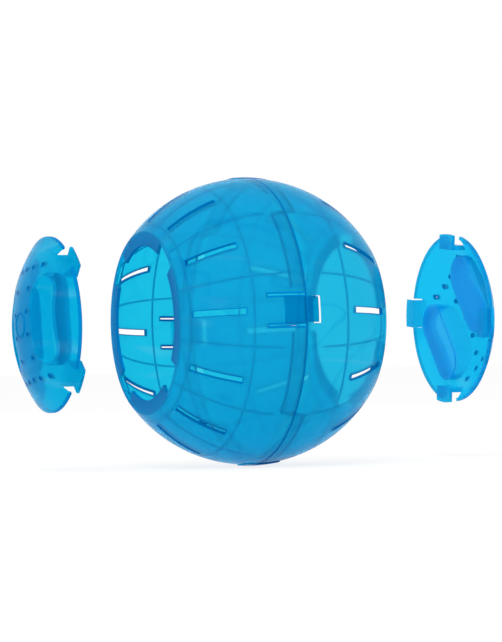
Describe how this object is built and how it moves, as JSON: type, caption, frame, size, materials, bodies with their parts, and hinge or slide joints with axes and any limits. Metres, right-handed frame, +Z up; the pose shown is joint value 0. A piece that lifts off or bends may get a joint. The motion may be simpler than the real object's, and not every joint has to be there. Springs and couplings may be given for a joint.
{
  "type": "hamster ball",
  "caption": "See-through plastic exercise ball for a hamster: two clipped halves with air slots and a twist-on door for the mouth at each end.",
  "frame": {"origin": "the point of the floor that the ball stands on, straight below the ball's centre", "axes": "+X along the axle towards the right mouth, -Y to the front, +Z up"},
  "size_m": [0.3162, 0.1814, 0.1814],
  "materials": {
    "shell_plastic": "clear blue moulded plastic, polished",
    "door_plastic": "clear blue moulded plastic, polished"
  },
  "bodies": {
    "left_half": {"left_half": "shell_plastic"},
    "right_half": {"right_half": "shell_plastic"},
    "left_door": {"left_door": "door_plastic"},
    "right_door": {"right_door": "door_plastic"}
  },
  "joints": [
    {"name": "halves_apart", "type": "slide", "parent": "left_half", "child": "right_half", "axis": [1, 0, 0], "range_m": [0, 0.06]},
    {"name": "left_door_on", "type": "slide", "parent": "left_half", "child": "left_door", "axis": [1, 0, 0], "range_m": [0, 0.0613]},
    {"name": "right_door_on", "type": "slide", "parent": "right_half", "child": "right_door", "axis": [-1, 0, 0], "range_m": [0, 0.0745]}
  ]
}
